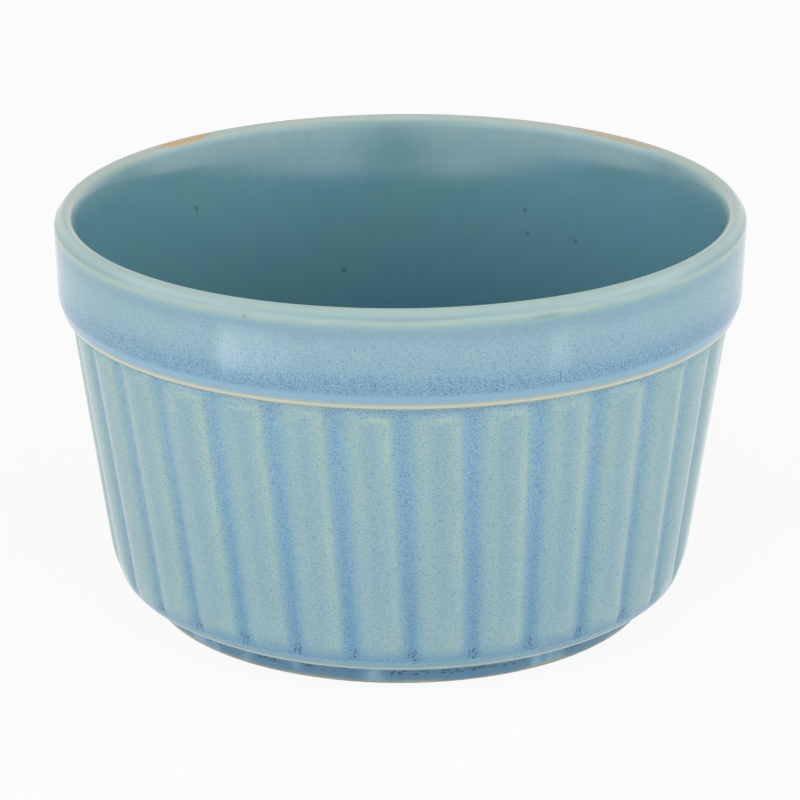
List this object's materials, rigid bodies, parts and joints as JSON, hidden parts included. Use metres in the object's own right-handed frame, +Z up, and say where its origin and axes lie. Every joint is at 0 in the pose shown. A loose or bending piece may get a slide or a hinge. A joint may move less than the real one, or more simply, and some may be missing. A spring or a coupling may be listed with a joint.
{
  "type": "ramekin",
  "caption": "Round fluted stoneware ramekin with a plain rim band, tapering ribbed wall, small foot ring and a pale blue-green reactive glaze, for baking and serving single portions.",
  "frame": {"origin": "centre of the foot ring, on the surface that the ramekin stands on", "axes": "+Z up along the bowl's axis; -Y is the side seen in the picture, with the middle of one groove on it; the form repeats every 11.25 degrees about Z"},
  "size_m": [0.09, 0.09, 0.0534],
  "materials": {
    "stoneware": "bare buff stoneware, matt and slightly gritty",
    "reactive_glaze": "glossy reactive glaze, mottled blue-green, cream where it breaks over the edges and blue where it pools in the grooves"
  },
  "bodies": {
    "root": {"stoneware_body": "stoneware", "glaze_coat": "reactive_glaze", "underside_glaze": "reactive_glaze"}
  },
  "joints": []
}
